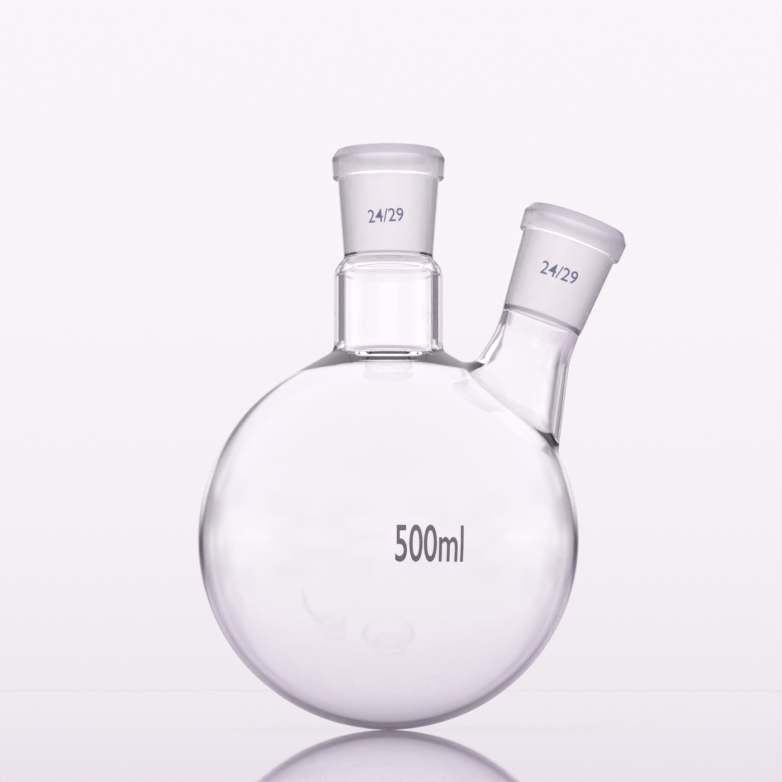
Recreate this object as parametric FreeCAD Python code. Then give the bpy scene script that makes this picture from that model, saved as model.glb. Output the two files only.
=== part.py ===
import FreeCAD, Part
import math
import os

# A two-neck round-bottom flask of 500 ml, blown and fused in one piece from clear glass.
# Millimetres, +Z up. The origin is the lowest point of the bulb, the centre neck stands on
# the Z axis, and the side neck leans towards +X in the XZ plane.

# The bulb. The glass ran down a little as it was blown, so the bottom is thicker than the top.
bulb_diameter = 105.0
bulb_wall = 1.4
bulb_sag = 0.4

# The ground cone of both sockets, size 24/29: 24 mm across at the mouth, 29 mm long, narrowing
# by a tenth of its length. The edge of the mouth is polished off.
ground_diameter = 24.0
ground_length = 29.0
ground_taper = 0.1
mouth_polish = 0.5

# The centre neck, which rises this far above the top of the bulb. Its tube is wider than its
# socket, and stands on a short skirt that leaves the bulb this many degrees above its equator.
neck_length = 55.2
tube_diameter = 30.1
tube_wall = 2.7
skirt_angle = 60.0
skirt_rounding = 5.0
tube_blend_inside = 2.0
shoulder_height = 3.1

# The centre socket: its walls round the ground cone, the narrow waist below the cone, and the
# rolled collar round the mouth, which stands proud of the socket.
socket_wall_top = 2.45
socket_wall_end = 1.85
waist_length = 1.2
waist_step = 0.55
collar_height = 7.9
collar_proud = 1.35
collar_swell = 0.35
collar_bevel = 2.4
rim_wall = 2.1

# The side neck, measured along its own axis from the skin of the bulb to its rim. Its tube is
# narrower than its socket and flares straight out to the bulb.
side_tilt = 20.0
side_aim = -3.5
side_neck_length = 52.3
side_tube_diameter = 22.2
side_tube_wall = 2.3
side_tube_length = 7.1
side_flare_angle = 12.8
side_blend = 4.0
side_blend_inside = 4.5

# The side socket, lighter than the centre one round the same cone.
side_socket_wall_top = 1.7
side_socket_wall_end = 0.95
side_waist_length = 1.7
side_collar_height = 7.6
side_collar_proud = 1.2
side_collar_swell = 0.4
side_collar_bevel = 2.3
side_rim_wall = 1.4

# Bends that the flame has softened. No bend takes more than its share of a short run.
shoulder_rounding = 2.0
flare_rounding = 20.0
corner_share = 0.48

# How far the cutting shapes run out past a rim, and how closely a seam lies on both skins.
clear = 5.0
seam_gap = 1e-4

bulb_radius = bulb_diameter / 2
height = bulb_diameter + neck_length

Z_AXIS = FreeCAD.Vector(0, 0, 1)
Y_AXIS = FreeCAD.Vector(0, 1, 0)
ORIGIN = FreeCAD.Vector(0, 0, 0)


def point(radius, level):
    return FreeCAD.Vector(radius, 0, level)


def around(centre, radius, angle):
    return centre + point(math.cos(angle), math.sin(angle)) * radius


def rounded_outline(corners):
    """Straight edges through corners given as (radius, level, rounding). A rounding of 0 leaves
    the corner sharp."""
    edges = []
    start = point(*corners[0][:2])
    for before, here, after in zip(corners, corners[1:], corners[2:]):
        corner = point(*here[:2])
        back = point(*before[:2]) - corner
        ahead = point(*after[:2]) - corner
        room = corner_share * min(back.Length, ahead.Length)
        half_turn = (math.pi - back.getAngle(ahead)) / 2
        reach = min(here[2] * math.tan(half_turn), room)
        if reach == 0:
            edges.append(Part.LineSegment(start, corner).toShape())
            start = corner
            continue
        back.normalize()
        ahead.normalize()
        bulge = reach * (1 - math.cos(half_turn)) / math.sin(half_turn)
        middle = corner + (back + ahead).normalize() * bulge
        edges.append(Part.LineSegment(start, corner + back * reach).toShape())
        edges.append(Part.Arc(corner + back * reach, middle, corner + ahead * reach).toShape())
        start = corner + ahead * reach
    edges.append(Part.LineSegment(start, point(*corners[-1][:2])).toShape())
    return edges


def ball_outline(ball_radius, level, angle):
    """The ball from its lowest point up to an angle above its equator, and the point there."""
    centre = point(0, level)
    belly = around(centre, ball_radius, (angle - math.pi / 2) / 2)
    foot = around(centre, ball_radius, angle)
    return Part.Arc(point(0, level - ball_radius), belly, foot).toShape(), foot


def revolved(edges):
    """The solid inside an outline whose first and last points lie on the axis, turned so that
    its faces close on the side away from the other neck."""
    first = edges[0].firstVertex(True).Point
    last = edges[-1].lastVertex(True).Point
    axis = Part.LineSegment(last, first).toShape()
    face = Part.Face(Part.Wire(edges + [axis]))
    solid = face.revolve(ORIGIN, Z_AXIS, 360)
    solid.rotate(ORIGIN, Z_AXIS, 180)
    return solid


def ground_radius(depth):
    """The radius of the ground cone at a depth below the mouth."""
    return (ground_diameter - depth * ground_taper) / 2


def socket_corners(rim, waist, walls, collar):
    """The outside of a socket from its waist up to the rim: taper, rolled collar and bevel."""
    wall_end, wall_top, wall_rim = walls
    drop, proud, swell, bevel = collar
    narrow = ground_radius(ground_length) + wall_end
    wide = ground_radius(drop) + wall_top
    return [
        (narrow, rim - ground_length - waist, 0),
        (narrow, rim - ground_length, 0),
        (wide, rim - drop, 0),
        (wide + proud, rim - drop, 0),
        (wide + proud + swell, rim - bevel, 0),
        (ground_radius(0) + wall_rim, rim, 0),
        (0, rim, 0),
    ]


def ground_corners(rim, bore, waist):
    """The inside of a socket from the bore below it, up the ground cone and out of the mouth."""
    mouth = ground_radius(mouth_polish)
    return [
        (bore, rim - ground_length - waist, 0),
        (ground_radius(ground_length), rim - ground_length, 0),
        (mouth, rim - mouth_polish, 0),
        (mouth + mouth_polish, rim, 0),
        (mouth + mouth_polish, rim + clear, 0),
        (0, rim + clear, 0),
    ]


def centre_outside():
    """The bulb with the centre neck, as if solid glass."""
    radius = tube_diameter / 2
    angle = math.radians(skirt_angle)
    ball, foot = ball_outline(bulb_radius, bulb_radius, angle)
    skirt_top = foot.z + (foot.x - radius) / math.tan(angle)
    shoulder = height - ground_length - waist_length - shoulder_height
    walls = (socket_wall_end, socket_wall_top, rim_wall)
    collar = (collar_height, collar_proud, collar_swell, collar_bevel)
    corners = [(foot.x, foot.z, 0), (radius, skirt_top, skirt_rounding)]
    corners += [(radius, shoulder, shoulder_rounding)]
    corners += socket_corners(height, waist_length, walls, collar)
    return revolved([ball] + rounded_outline(corners))


def centre_hollow():
    """The inside of the bulb and of the centre neck."""
    radius = tube_diameter / 2 - tube_wall
    level = bulb_radius + bulb_sag
    hollow_radius = bulb_radius - bulb_wall
    angle = math.acos((radius + tube_blend_inside) / (hollow_radius + tube_blend_inside))
    ball, foot = ball_outline(hollow_radius, level, angle)
    bend = around(point(0, level), hollow_radius + tube_blend_inside, angle)
    middle = around(bend, tube_blend_inside, math.pi + angle / 2)
    blend = Part.Arc(foot, middle, point(radius, bend.z)).toShape()
    shoulder = height - ground_length - waist_length - shoulder_height - tube_wall
    waist = ground_radius(ground_length) - waist_step
    corners = [(radius, bend.z, 0), (radius, shoulder, shoulder_rounding)]
    corners += ground_corners(height, waist, waist_length)
    return revolved([ball, blend] + rounded_outline(corners))


def side_reach():
    """How far along the side neck's axis its rim lies, from where that meets the Z axis."""
    tilt = math.radians(side_tilt)
    drop = bulb_radius - side_aim
    skin = drop * math.cos(tilt) + math.sqrt(bulb_radius**2 - (drop * math.sin(tilt)) ** 2)
    return skin + side_neck_length


def side_foot(radius):
    """The side neck's flare from deep inside the bulb up to its tube of the given radius."""
    flare_start = side_reach() - ground_length - side_waist_length - side_tube_length
    opening = (flare_start - bulb_radius) * math.tan(math.radians(side_flare_angle))
    return [
        (0, bulb_radius, 0),
        (radius + opening, bulb_radius, 0),
        (radius, flare_start, flare_rounding),
    ]


def leaning(solid):
    """A solid of the side neck, turned from the Z axis to where the side neck leans."""
    solid.rotate(ORIGIN, Y_AXIS, side_tilt)
    solid.translate(FreeCAD.Vector(0, 0, side_aim))
    return solid


def side_outside():
    """The side neck as if solid glass, from inside the bulb to its rim."""
    radius = side_tube_diameter / 2
    rim = side_reach()
    waist = rim - ground_length - side_waist_length
    walls = (side_socket_wall_end, side_socket_wall_top, side_rim_wall)
    collar = (side_collar_height, side_collar_proud, side_collar_swell, side_collar_bevel)
    corners = side_foot(radius) + [(radius, waist, 0)]
    corners += socket_corners(rim, side_waist_length, walls, collar)[1:]
    return leaning(revolved(rounded_outline(corners)))


def side_hollow():
    """The inside of the side neck."""
    radius = side_tube_diameter / 2 - side_tube_wall
    corners = side_foot(radius) + ground_corners(side_reach(), radius, side_waist_length)
    return leaning(revolved(rounded_outline(corners)))


def seam_edges(whole, body, neck):
    """The edges of the whole where the skins of the body and the neck meet."""
    seam = []
    for edge in whole.Edges:
        middle = Part.Vertex(edge.valueAt((edge.FirstParameter + edge.LastParameter) / 2))
        if max(middle.distToShape(skin.Shells[0])[0] for skin in (body, neck)) < seam_gap:
            seam.append(edge)
    return seam


def flask():
    """Bulb and necks in one wall of glass, its side neck's seam blended outside and inside."""
    body, neck = centre_outside(), side_outside()
    body_hollow, neck_hollow = centre_hollow(), side_hollow()
    glass = body.fuse(neck).cut(body_hollow.fuse(neck_hollow)).Solids[0]
    glass = glass.makeFillet(side_blend, seam_edges(glass, body, neck))
    glass = glass.makeFillet(side_blend_inside, seam_edges(glass, body_hollow, neck_hollow))
    return glass.Solids[0]


os.makedirs("parts", exist_ok=True)
flask().exportStep("parts/flask.step")
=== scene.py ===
import cmath
import math

import bmesh
import bpy
from mathutils import Matrix, Vector


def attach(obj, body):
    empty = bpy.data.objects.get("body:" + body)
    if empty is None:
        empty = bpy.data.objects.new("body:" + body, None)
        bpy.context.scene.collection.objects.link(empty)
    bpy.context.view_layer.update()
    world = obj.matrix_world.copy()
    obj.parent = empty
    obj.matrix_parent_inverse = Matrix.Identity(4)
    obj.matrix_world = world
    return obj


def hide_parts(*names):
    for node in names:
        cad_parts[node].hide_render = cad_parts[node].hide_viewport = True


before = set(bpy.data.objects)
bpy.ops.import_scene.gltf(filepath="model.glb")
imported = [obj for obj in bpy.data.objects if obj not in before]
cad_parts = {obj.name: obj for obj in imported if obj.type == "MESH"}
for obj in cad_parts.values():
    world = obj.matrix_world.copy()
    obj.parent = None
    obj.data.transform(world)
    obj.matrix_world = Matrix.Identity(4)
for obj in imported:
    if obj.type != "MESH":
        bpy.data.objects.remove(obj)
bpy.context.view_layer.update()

# The flask: a 500 ml bulb blown from clear borosilicate tube, with an upright neck and a leaning
# one fused on and annealed with it, so it is one piece of glass. Both necks end in a ground 24/29
# socket under a rolled collar. Sizes are in millimetres until the mesh is made.
bulb_radius = 52.5
hollow_radius = 51.1
hollow_centre = 52.9
tube_radius = 15.05
tube_bore = 12.35
skirt_rounding = 2.5
foot_blend = 5.0
rim_height = 160.2
side_lean = math.radians(20)
side_aim = -3.5
side_bore = 8.8
side_rim = 153.8
junction_outside = (4.5, 20.0)
junction_inside = (5.5, 22.0)
corner_share = 0.48
bend_step = math.radians(14)


class Outline:
    """A profile of straight runs and arcs, read off by the distance along it. Its points are
    complex numbers: the radius, plus 1j times the height. Glass lies to its left."""

    def __init__(self, start):
        self.end = start
        self.length = 0.0
        self.runs = []

    def run(self, heading, length, curvature=0.0):
        """Adds a straight run, or an arc, which turns left where its curvature is positive."""
        self.runs.append((self.length, length, self.end, heading, curvature))
        self.length += length
        self.end = self.at(self.length)[0]

    def through(self, *corners):
        """Adds straight runs through corners (radius, height, rounding) up to the last one."""
        for here, after in zip(corners, corners[1:]):
            to_corner = complex(*here[:2]) - self.end
            onward = complex(*after[:2]) - complex(*here[:2])
            ahead = to_corner / abs(to_corner)
            turn = cmath.phase(onward / ahead)
            slope = math.tan(abs(turn) / 2)
            room = corner_share * min(abs(to_corner), abs(onward))
            reach = min(here[2] * slope, room)
            self.run(ahead, abs(to_corner) - reach)
            if reach > 1e-6:
                radius = reach / slope
                self.run(ahead, radius * abs(turn), math.copysign(1 / radius, turn))
        last = complex(*corners[-1][:2]) - self.end
        self.run(last / abs(last), abs(last))

    def at(self, distance):
        """The point at a distance along the outline, and the heading there."""
        for begin, length, point, heading, curvature in reversed(self.runs):
            if distance >= begin:
                break
        gone = distance - begin
        if curvature == 0:
            return point + heading * gone, heading
        turned = heading * cmath.exp(1j * curvature * gone)
        return point + (turned - heading) / (1j * curvature), turned

    def nearest(self, place, low=0.0, high=math.inf):
        """The distance along the outline to where it passes nearest to a place, and how far the
        place lies off to its right there."""
        found = []
        for begin, length, point, heading, curvature in self.runs:
            if begin + length <= low or begin >= high:
                continue
            if curvature == 0:
                gone = ((place - point) * heading.conjugate()).real
            else:
                middle = point + heading * 1j / curvature
                gone = cmath.phase((place - middle) / (point - middle)) / curvature
            gone = min(max(gone, 0.0), length)
            spot, course = self.at(begin + min(gone, length - 1e-9))
            off = place - spot
            sign = math.copysign(1, (off / (course * -1j)).real)
            found.append((abs(off), begin + gone, sign))
        off, distance, sign = min(found)
        return distance, off * sign

    def rows(self, low, high, step):
        """Distances from low to high: at every bend, and close together round the bends."""
        stops = [low] + [run[0] for run in self.runs if low + 1e-6 < run[0] < high - 1e-6] + [high]
        made = [low]
        for start, stop in zip(stops, stops[1:]):
            heading = self.at(start + 1e-7)[1]
            turn = abs(cmath.phase(self.at(stop - 1e-7)[1] / heading))
            parts = max(1, math.ceil((stop - start) / step), math.ceil(turn / bend_step))
            made += [start + (stop - start) * part / parts for part in range(1, parts + 1)]
        return made


# The body's outline: up the bulb's outside from its lowest point, up the skirt to the tube, over
# the shoulder, waist and collar, and back down the ground cone and the tube to the inside.
body = Outline(0j)
body.run(1 + 0j, bulb_radius * math.radians(150), 1 / bulb_radius)
foot = math.acos((tube_bore + foot_blend) / (hollow_radius + foot_blend))
bore_end = hollow_centre + (hollow_radius + foot_blend) * math.sin(foot)
body.through(
    (tube_radius, 104.43, skirt_rounding),
    (tube_radius, 126.9, 5.0),
    (12.4, 130.0, 1.2),
    (12.4, 131.2, 1.0),
    (14.055, 152.3, 0.5),
    (15.405, 152.3, 0.6),
    (15.755, 157.8, 1.6),
    (14.1, rim_height, 0.7),
    (12.475, rim_height, 0.4),
    (11.975, 159.7, 0.4),
    (10.55, 131.2, 0.3),
    (10.0, 130.3, 3.0),
    (tube_bore, 125.9, 2.3),
    (tube_bore, bore_end, 0.0),
)
body_rim = body.nearest(complex(13.2, rim_height))[0]
body_ground = [body.nearest(place, body_rim)[0] for place in (11.975 + 159.7j, 10.55 + 131.2j)]
body.run(-1j, foot_blend * foot, 1 / foot_blend)
body.run(-1j * cmath.exp(1j * foot), hollow_radius * (math.pi / 2 + foot), -1 / hollow_radius)

# The side neck's outline, the same way round, measured along its own axis from the point where
# that meets the bulb's axis.
neck = Outline(25.53 + 52.5j)
neck.through(
    (11.1, 116.0, 20.0),
    (11.1, 123.1, 5.0),
    (11.5, 124.8, 5.0),
    (13.32, 146.2, 0.5),
    (14.52, 146.2, 0.6),
    (14.92, 151.5, 1.5),
    (13.4, side_rim, 0.6),
    (12.475, side_rim, 0.4),
    (11.975, 153.3, 0.4),
    (10.55, 124.8, 0.8),
    (9.6, 123.6, 1.2),
    (side_bore, 116.0, 20.0),
    (23.23, 52.5, 0.0),
)
neck_rim = neck.nearest(complex(12.9, side_rim))[0]
neck_ground = [neck.nearest(place, neck_rim)[0] for place in (11.975 + 153.3j, 9.65 + 123.65j)]
outward = Vector((math.cos(side_lean), 0, -math.sin(side_lean)))
upward = Vector((math.sin(side_lean), 0, math.cos(side_lean)))


def on_body(distance, angle):
    """The point and the normal of the body's skin, at an angle round Z from +X."""
    place, heading = body.at(distance)
    normal = heading * -1j
    across = Vector((math.cos(angle), math.sin(angle), 0))
    high = Vector((0, 0, 1))
    return across * place.real + high * place.imag, across * normal.real + high * normal.imag


def on_neck(distance, angle):
    """The point and the normal of the side neck's skin, at an angle round its axis."""
    place, heading = neck.at(distance)
    normal = heading * -1j
    across = outward * math.cos(angle) + Vector((0, math.sin(angle), 0))
    root = Vector((0, 0, side_aim))
    point = root + across * place.real + upward * place.imag
    return point, across * normal.real + upward * normal.imag


halvings = 40


def junction(angle, radius, side, neck_low, neck_high, body_low, body_high):
    """Where a ball rolled round the foot of the side neck touches the neck and the body at an
    angle. The ball lies outside the glass where side is 1, and in the glass where it is -1.
    Returns its centre and where it touches, as distances along the two outlines."""
    def ball(distance):
        point, normal = on_neck(distance, angle)
        centre = point + normal * radius * side
        flat = complex(math.hypot(centre.x, centre.y), centre.z)
        return centre, body.nearest(flat, body_low, body_high)

    inside, outside = neck_low, neck_high
    for _ in range(halvings):
        middle = (inside + outside) / 2
        if ball(middle)[1][1] * side < radius:
            inside = middle
        else:
            outside = middle
    centre, (distance, off) = ball(outside)
    return centre, outside, distance, math.atan2(centre.y, centre.x)


# The mesh. Every point lies on the outlines above and takes its normal from them. The two skins
# of the bulb leave a block of columns and rows open where the side neck joins.
columns = 160
half_block = 20
block_rows = 34
flat_rows = 9
blend_rows = 8
neck_rows = 16
row_step = 2.2
millimetre = 0.001
points = []
normals = []
faces = []
finishes = []


def add_point(place):
    points.append(place[0] * millimetre)
    normals.append(place[1].normalized())
    return len(points) - 1


def add_face(corners, finish=0):
    """A face turned to the side that its normals point to."""
    first, second, third = (points[corner] for corner in corners[:3])
    facing = (second - first).cross(points[corners[-1]] - first)
    if facing.length < 1e-16:
        facing = (third - second).cross(points[corners[-1]] - second)
    if facing.dot(sum((normals[corner] for corner in corners), Vector())) < 0:
        corners = corners[::-1]
    faces.append(corners)
    finishes.append(finish)


def add_band(lower, upper, finish=0):
    """Quads between two closed rings of points."""
    for here in range(len(lower)):
        after = (here + 1) % len(lower)
        add_face([lower[here], lower[after], upper[after], upper[here]], finish)


def add_rings(rings, ground=(0, 0)):
    """Bands through rings given as (distance, points). Those on the ground cone are frosted."""
    for (low, lower), (high, upper) in zip(rings, rings[1:]):
        middle = (low + high) / 2
        add_band(lower, upper, int(ground[0] < middle < ground[1]))


def body_ring(distance):
    angles = [2 * math.pi * column / columns for column in range(columns)]
    return distance, [add_point(on_body(distance, angle)) for angle in angles]


def open_block(low, high):
    """The body's rows past the side neck, without the columns of the block. Returns the rings at
    both ends, and the block's edge: its points with where each lies, starting at the edge's
    lowest point on the outside, and going round by +Y."""
    grid = {}
    levels = [low + (high - low) * row / block_rows for row in range(block_rows + 1)]
    for row, distance in enumerate(levels):
        for column in range(-columns // 2, columns // 2):
            if row in (0, block_rows) or not -half_block < column < half_block:
                angle = 2 * math.pi * column / columns
                grid[row, column] = add_point(on_body(distance, angle))
    for row in range(block_rows):
        for column in range(-columns // 2, columns // 2):
            if not -half_block <= column < half_block:
                after = column + 1 if column + 1 < columns // 2 else -columns // 2
                lower = [grid[row, column], grid[row, after]]
                add_face(lower + [grid[row + 1, after], grid[row + 1, column]])
    edge = [(0, column) for column in range(0, half_block)]
    edge += [(row, half_block) for row in range(block_rows)]
    edge += [(block_rows, column) for column in range(half_block, -half_block, -1)]
    edge += [(row, -half_block) for row in range(block_rows, 0, -1)]
    edge += [(0, column) for column in range(-half_block, 0)]
    placed = [(grid[key], levels[key[0]], 2 * math.pi * key[1] / columns) for key in edge]
    ends = []
    for row in (0, block_rows):
        order = [column - columns if column >= columns // 2 else column for column in range(columns)]
        ends.append((levels[row], [grid[row, column] for column in order]))
    return ends, placed


def join_neck(edge, angles, blend, side, neck_range, body_range, neck_stop):
    """The skin from the block's edge to the side neck: the rest of the block, the blend that the
    ball leaves, and the neck up to one level. The blend is tighter where the neck leans out and
    in, and wider to both sides. Returns the last ring."""
    tight, wide = blend
    powers = [2 if math.cos(angle) > 0 else 4 for angle in angles]
    radii = [
        tight + (wide - tight) * math.sin(angle) ** power for angle, power in zip(angles, powers)
    ]
    touches = [
        junction(angle, radius, side, *neck_range, *body_range)
        for angle, radius in zip(angles, radii)
    ]
    last = [point for point, _, _ in edge]
    for part in range(1, flat_rows + 1):
        share = part / flat_rows
        ring = []
        for (_, distance, angle), (_, _, touch, touch_angle) in zip(edge, touches):
            turned = angle + (touch_angle - angle) * share
            ring.append(add_point(on_body(distance + (touch - distance) * share, turned)))
        add_band(last, ring)
        last = ring
    for part in range(1, blend_rows + 1):
        ring = []
        for angle, radius, touch in zip(angles, radii, touches):
            centre, neck_touch, body_touch, body_angle = touch
            start = (on_body(body_touch, body_angle)[0] - centre).normalized()
            stop = (on_neck(neck_touch, angle)[0] - centre).normalized()
            arm = start.slerp(stop, part / blend_rows)
            ring.append(add_point((centre + arm * radius, arm * -side)))
        add_band(last, ring)
        last = ring
    for part in range(1, neck_rows + 1):
        ring = []
        for angle, (_, neck_touch, _, _) in zip(angles, touches):
            distance = neck_touch + (neck_stop - neck_touch) * part / neck_rows
            ring.append(add_point(on_neck(distance, angle)))
        add_band(last, ring)
        last = ring
    return neck_stop, last


block_top = 115
outer_block = (
    body.nearest(49.5 + 69j)[0],
    body.nearest(complex(tube_radius, block_top))[0],
)
inner_block = (
    body.nearest(complex(tube_bore, block_top), body_rim)[0],
    body.nearest(48.2 + 69j, body_rim)[0],
)
outer_ends, outer_edge = open_block(*outer_block)
inner_ends, inner_edge = open_block(*inner_block)

# The inside's rows run down the bulb, so its edge is read from its other end and backwards.
across_block = half_block * 2 + block_rows
inner_edge = [
    inner_edge[(across_block - place) % len(inner_edge)] for place in range(len(inner_edge))
]

# Each point of the edge gets an angle round the side neck, as if the block were flat and this
# many millimetres wide for a radian of columns.
block_radius = 30
middle = (outer_block[0] + outer_block[1]) / 2
angles = [math.atan2(angle * block_radius, middle - distance) for _, distance, angle in outer_edge]
neck_out = neck.nearest(11.1 + 122.2j, 0, neck_rim)[0]
neck_in = neck.nearest(complex(side_bore, 122.2), neck_rim)[0]
outer_range = (neck.nearest(17.5 + 88j, 0, neck_rim)[0], neck_out)
inner_range = (neck.nearest(15.2 + 88j, neck_rim)[0], neck_in)
outer_ring = join_neck(
    outer_edge, angles, junction_outside, 1, outer_range, (0, body_rim), neck_out
)
inner_ring = join_neck(
    inner_edge, angles, junction_inside, -1, inner_range, (body_rim, math.inf), neck_in
)
levels = neck.rows(neck_out, neck_in, row_step)[1:-1]
rings = [(level, [add_point(on_neck(level, angle)) for angle in angles]) for level in levels]
add_rings([outer_ring] + rings + [inner_ring], neck_ground)

levels = body.rows(0, outer_block[0], row_step)[1:-1]
rings = [body_ring(level) for level in levels]
add_rings(rings + [outer_ends[0]])
pole = add_point((Vector(), Vector((0, 0, -1))))
for here, after in zip(rings[0][1], rings[0][1][1:] + rings[0][1][:1]):
    add_face([pole, here, after])
levels = body.rows(outer_block[1], inner_block[0], row_step)[1:-1]
add_rings([outer_ends[1]] + [body_ring(level) for level in levels] + [inner_ends[0]], body_ground)
levels = body.rows(inner_block[1], body.length, row_step)[1:-1]
rings = [body_ring(level) for level in levels]
add_rings([inner_ends[1]] + rings)
pole = add_point((Vector((0, 0, hollow_centre - hollow_radius)), Vector((0, 0, 1))))
for here, after in zip(rings[-1][1], rings[-1][1][1:] + rings[-1][1][:1]):
    add_face([pole, here, after])

mesh = bpy.data.meshes.new("flask")
mesh.from_pydata(points, [], faces)
mesh.polygons.foreach_set("material_index", finishes)
mesh.shade_smooth()
mesh.normals_split_custom_set_from_vertices(normals)
flask = bpy.data.objects.new("flask", mesh)
bpy.context.scene.collection.objects.link(flask)


class Socket:
    """An output of a shader node. Arithmetic on it adds Math nodes, and node() adds any other."""

    def __init__(self, tree, output=None):
        self.tree = tree
        self.output = output

    def node(self, kind, settings=None, sockets=None, output=0):
        """Adds a node of a type, first with its settings and then with values or links."""
        made = self.tree.nodes.new("ShaderNode" + kind)
        for name, value in (settings or {}).items():
            if name == "stops":
                stops = made.color_ramp.elements
                while len(stops) < len(value):
                    stops.new(0.5)
                for stop, (position, colour) in zip(stops, value):
                    stop.position = position
                    stop.color = colour
            else:
                setattr(made, name, value)
        for name, value in (sockets or {}).items():
            if isinstance(value, Socket):
                self.tree.links.new(value.output, made.inputs[name])
            else:
                made.inputs[name].default_value = value
        return Socket(self.tree, made.outputs[output] if made.outputs else None)

    def maths(self, operation, first, second=0.0):
        return self.node("Math", {"operation": operation}, {0: first, 1: second})

    def __add__(self, other):
        return self.maths("ADD", self, other)

    def __sub__(self, other):
        return self.maths("SUBTRACT", self, other)

    def __mul__(self, other):
        return self.maths("MULTIPLY", self, other)

    def __truediv__(self, other):
        return self.maths("DIVIDE", self, other)

    def __rsub__(self, other):
        return self.maths("SUBTRACT", other, self)

    __radd__ = __add__
    __rmul__ = __mul__


def new_material(name):
    """An empty material, and a Socket that adds its first nodes."""
    material = bpy.data.materials.new(name)
    material.use_nodes = True
    material.node_tree.nodes.clear()
    return material, Socket(material.node_tree)


def mix(factor, first, second):
    """A colour between two colours."""
    settings = {"data_type": "RGBA"}
    return factor.node("Mix", settings, {0: factor, 6: first, 7: second}, output=2)


# Clear glass, drawn out by hand: it is almost colourless, and its skin is very slightly wavy.
glass_ior = 1.473
clear_glass, glass = new_material("clear_glass")
place = glass.node("TexCoord", output="Object")
waves = glass.node("TexNoise", sockets={"Vector": place, "Scale": 55.0, "Detail": 1.5})
cloud = glass.node("TexNoise", sockets={"Vector": place, "Scale": 30.0, "Detail": 2.0})
ripple = glass.node("Bump", sockets={"Strength": 0.05, "Distance": 0.0004, "Height": waves})
tint = mix(cloud, (1.0, 0.998, 1.0, 1), (0.996, 0.991, 0.997, 1))
shader = glass.node(
    "BsdfPrincipled",
    sockets={
        "Base Color": tint,
        "Roughness": 0.006 + cloud * 0.008,
        "IOR": glass_ior,
        "Transmission Weight": 1.0,
        "Normal": ripple,
    },
)
glass.node("OutputMaterial", sockets={"Surface": shader})

# The ground cones: the same glass, ground with grit to a fine and slightly uneven frost.
ground_glass, frost = new_material("ground_glass")
place = frost.node("TexCoord", output="Object")
grit = frost.node("TexNoise", sockets={"Vector": place, "Scale": 6000.0, "Detail": 3.0})
patches = frost.node("TexNoise", sockets={"Vector": place, "Scale": 300.0, "Detail": 2.0})
grain = frost.node("Bump", sockets={"Strength": 0.35, "Distance": 0.00008, "Height": grit})
shader = frost.node(
    "BsdfPrincipled",
    sockets={
        "Base Color": mix(patches, (1.0, 0.98, 0.996, 1), (0.998, 0.964, 0.988, 1)),
        "Roughness": 0.31 + patches * 0.1,
        "IOR": glass_ior,
        "Transmission Weight": 1.0,
        "Normal": grain,
    },
)
frost.node("OutputMaterial", sockets={"Surface": shader})
mesh.materials.append(clear_glass)
mesh.materials.append(ground_glass)
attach(flask, "root")
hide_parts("flask")


# The size marks: plain figures in ceramic enamel, screened on the outside of each socket and of
# the bulb and fired into the glass, so that they have no thickness to speak of.
mark_gap = 0.03
mark_grid = 0.7


def mark(name, text, size, stroke, turn, wall, centre, material):
    """A fired mark of a width and height, its strokes thickened, turned by an angle, and laid on
    a wall round a centre given as a distance up the wall and an angle round it. The flat figures
    are cut up first, so that they bend with the wall."""
    curve = bpy.data.curves.new(name, "FONT")
    curve.body = text
    curve.resolution_u = 6
    curve.offset = stroke
    sample = bpy.data.objects.new(name + "_flat", curve)
    bpy.context.scene.collection.objects.link(sample)
    shape = bmesh.new()
    shape.from_mesh(sample.to_mesh())
    bpy.data.objects.remove(sample)
    low = Vector([min(corner.co[axis] for corner in shape.verts) for axis in range(3)])
    high = Vector([max(corner.co[axis] for corner in shape.verts) for axis in range(3)])
    scale = (size[0] / (high.x - low.x), size[1] / (high.y - low.y), 1)
    bmesh.ops.translate(shape, verts=shape.verts, vec=-(low + high) / 2)
    bmesh.ops.scale(shape, verts=shape.verts, vec=scale)
    for axis in range(2):
        cuts = math.ceil(size[axis] / mark_grid)
        for cut in range(1, cuts):
            where = [0, 0, 0]
            where[axis] = size[axis] * (cut / cuts - 0.5)
            facing = [0, 0, 0]
            facing[axis] = 1
            everything = shape.verts[:] + shape.edges[:] + shape.faces[:]
            bmesh.ops.bisect_plane(shape, geom=everything, plane_co=where, plane_no=facing)
    bmesh.ops.rotate(shape, verts=shape.verts, matrix=Matrix.Rotation(turn, 3, "Z"))
    radius = (body if wall is on_body else neck).at(centre[0])[0].real
    for corner in shape.verts:
        point, normal = wall(centre[0] + corner.co.y, centre[1] + corner.co.x / radius)
        corner.co = (point + normal * mark_gap) * millimetre
    printed = bpy.data.meshes.new(name)
    shape.to_mesh(printed)
    shape.free()
    printed.shade_smooth()
    printed.materials.append(material)
    piece = bpy.data.objects.new(name, printed)
    bpy.context.scene.collection.objects.link(piece)
    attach(piece, "root")


def enamel(name, colour, thin):
    """Fired enamel: matt, a little uneven in thickness, and paler where it is thin."""
    material, coat = new_material(name)
    place = coat.node("TexCoord", output="Object")
    cover = coat.node("TexNoise", sockets={"Vector": place, "Scale": 900.0, "Detail": 3.0})
    bumps = coat.node("Bump", sockets={"Strength": 0.2, "Distance": 0.00005, "Height": cover})
    shader = coat.node(
        "BsdfPrincipled",
        sockets={
            "Base Color": mix(cover, colour, thin),
            "Roughness": 0.45 + cover * 0.2,
            "Normal": bumps,
        },
    )
    coat.node("OutputMaterial", sockets={"Surface": shader})
    return material


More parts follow.
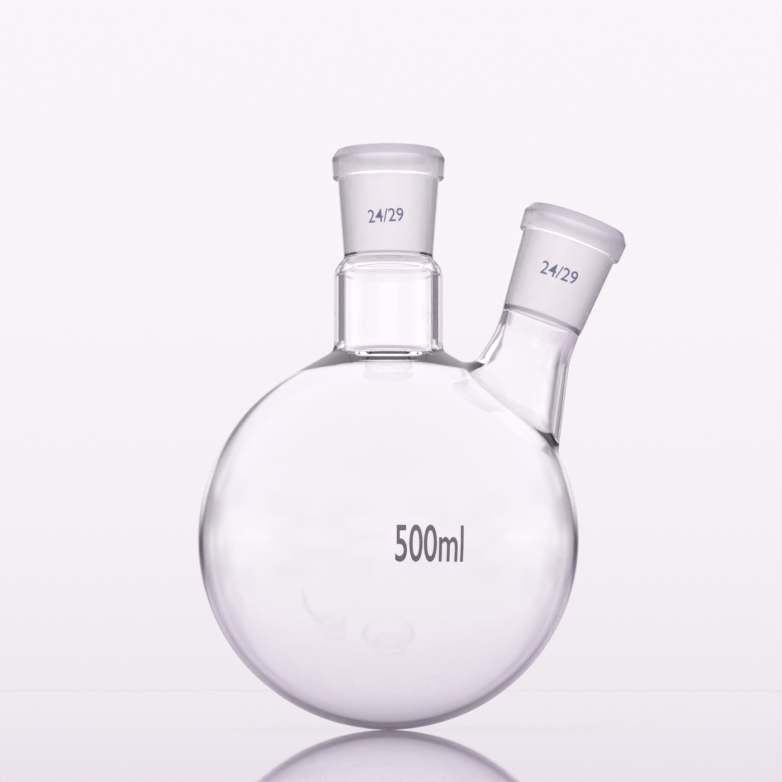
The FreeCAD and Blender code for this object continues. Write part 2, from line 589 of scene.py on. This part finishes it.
front = -math.pi / 2
blue_enamel = enamel("blue_enamel", (0.18, 0.2, 0.34, 1), (0.27, 0.29, 0.44, 1))
grey_enamel = enamel("grey_enamel", (0.19, 0.165, 0.185, 1), (0.28, 0.25, 0.275, 1))
spot = body.nearest(13.2 + 140.5j, 0, body_rim)[0]
mark(
    "mark_centre", "24/29", (9.9, 3.65), 0.005, math.radians(2.9),
    on_body, (spot, front - 0.06), blue_enamel,
)
spot = neck.nearest(12.6 + 136.6j, 0, neck_rim)[0]
mark(
    "mark_side", "24/29", (10.6, 3.65), 0.005, 0.0,
    on_neck, (spot, front), blue_enamel,
)
spot = body.nearest(52.4 + 49.2j, 0, body_rim)[0]
mark(
    "mark_volume", "500ml", (18.4, 9.8), 0.01, 0.0,
    on_body, (spot, front + 0.21), grey_enamel,
)

# The table: a broad pale gloss sheet, in which the flask is mirrored when seen from low down.
table_mesh = bpy.data.meshes.new("table")
table_shape = bmesh.new()
bmesh.ops.create_circle(table_shape, cap_ends=True, radius=12.0, segments=96)
table_shape.to_mesh(table_mesh)
table_shape.free()
table = bpy.data.objects.new("table", table_mesh)
bpy.context.scene.collection.objects.link(table)
pale_gloss, sheet = new_material("pale_gloss")
place = sheet.node("TexCoord", output="Object")
mottle = sheet.node("TexNoise", sockets={"Vector": place, "Scale": 9.0, "Detail": 2.0})
shader = sheet.node(
    "BsdfPrincipled",
    sockets={
        "Base Color": mix(mottle, (0.6, 0.515, 0.635, 1), (0.63, 0.545, 0.665, 1)),
        "Roughness": 0.015 + mottle * 0.01,
        "IOR": 1.1,
    },
)
sheet.node("OutputMaterial", sockets={"Surface": shader})
table_mesh.materials.append(pale_gloss)

# The studio: a pale backdrop behind the flask, with darker room to either side of it that draws
# the edges of the glass. The rest of the room is paler, and palest overhead.
world = bpy.data.worlds.new("studio")
bpy.context.scene.world = world
world.use_nodes = True
world.node_tree.nodes.clear()
studio = Socket(world.node_tree)
heading = studio.node("TexCoord", output="Generated")
across = studio.node("SeparateXYZ", sockets={0: heading}, output=0)
along = studio.node("SeparateXYZ", sockets={0: heading}, output=1)
height = studio.node("SeparateXYZ", sockets={0: heading}, output=2)
quarter = studio.maths("ARCTAN2", studio.maths("ABSOLUTE", across), studio.maths("ABSOLUTE", along))
eighth = studio.maths("MINIMUM", quarter, math.pi / 2 - quarter) / (math.pi / 4)


def shades(*stops):
    """How bright the room is, by the angle in degrees off the middle of the nearest wall."""
    placed = [(angle / 45, (bright, bright, bright, 1)) for angle, bright in stops]
    return studio.node("ValToRGB", {"stops": placed}, {0: eighth})


def rising(source, low, high):
    """A smooth step from 0 to 1 as a part of the direction rises past two values."""
    settings = {"interpolation_type": "SMOOTHSTEP"}
    return studio.node("MapRange", settings, {0: source, 1: low, 2: high})


backdrop = studio.node(
    "ValToRGB",
    {
        "stops": [
            (0.5, (0.86, 0.82, 0.865, 1)),
            (0.52, (0.9, 0.863, 0.905, 1)),
            (0.56, (0.935, 0.905, 0.94, 1)),
            (0.6, (0.94, 0.912, 0.95, 1)),
        ]
    },
    {0: height * 0.5 + 0.5},
)
low_room = shades((0, 1), (9.5, 1), (14.5, 0.4), (18, 0), (26, 0), (31, 0.4), (38, 0.45), (45, 1))
high_room = shades((0, 1), (24, 1), (29, 0.06), (44, 0.06), (45, 0.15))
top_room = shades((0, 1), (8, 1), (13, 0.3), (24, 0.2), (36, 0.4), (45, 1))
sides = low_room + (high_room - low_room) * rising(height, 0.025, 0.11)
sides = sides + (top_room - sides) * rising(height, 0.175, 0.215)
sides = sides + (1 - sides) * rising(height, 0.3, 0.42)
elsewhere = 1 - rising(along, 0.45, 0.65)
paler = 0.7
bright = sides + (1 - sides) * elsewhere * paler
lit = mix(rising(height, 0.3, 0.55), backdrop, (1.22, 1.16, 1.22, 1))
lit = mix(elsewhere, lit, (1.4, 1.37, 1.42, 1))
room = mix(bright, (0.15, 0.115, 0.165, 1), lit)
seen = studio.node("LightPath", output="Is Camera Ray")
mirrored = studio.node("LightPath", output="Is Glossy Ray")
passed = studio.node("LightPath", output="Is Transmission Ray")
shown = studio.node("Background", sockets={"Color": mix(seen, room, backdrop), "Strength": 1.0})
plain = studio.node("Background", sockets={"Color": (0.9, 0.88, 0.92, 1), "Strength": 0.85})
looking = studio.node(
    "Math", {"operation": "ADD", "use_clamp": True}, {0: seen + mirrored, 1: passed}
)
studio.node(
    "OutputWorld",
    sockets={"Surface": studio.node("MixShader", sockets={0: looking, 1: plain, 2: shown})},
)

# A soft box overhead throws the flask's shadow. It isn't mirrored in the glass.
softbox = bpy.data.lights.new("softbox", "AREA")
softbox.shape = "DISK"
softbox.size = 0.9
softbox.energy = 3.5
softbox_lamp = bpy.data.objects.new("softbox", softbox)
softbox_lamp.location = (-0.3, -0.4, 1.3)
aim = Vector((0, 0, 0.08)) - softbox_lamp.location
softbox_lamp.rotation_euler = aim.to_track_quat("-Z", "Y").to_euler()
softbox_lamp.visible_glossy = False
softbox_lamp.visible_transmission = False
bpy.context.scene.collection.objects.link(softbox_lamp)

# The camera stands close to the table and looks slightly up, as in the photograph.
camera = bpy.data.cameras.new("camera")
camera.sensor_width = 36
camera.lens = 158.8
camera.shift_y = 0.1462
camera.clip_start = 0.05
viewpoint = bpy.data.objects.new("camera", camera)
viewpoint.location = (0.00072, -0.95, 0.012)
viewpoint.rotation_euler = (math.radians(93), 0, 0)
bpy.context.scene.collection.objects.link(viewpoint)
bpy.context.scene.camera = viewpoint
bpy.context.scene.view_settings.view_transform = "Standard"
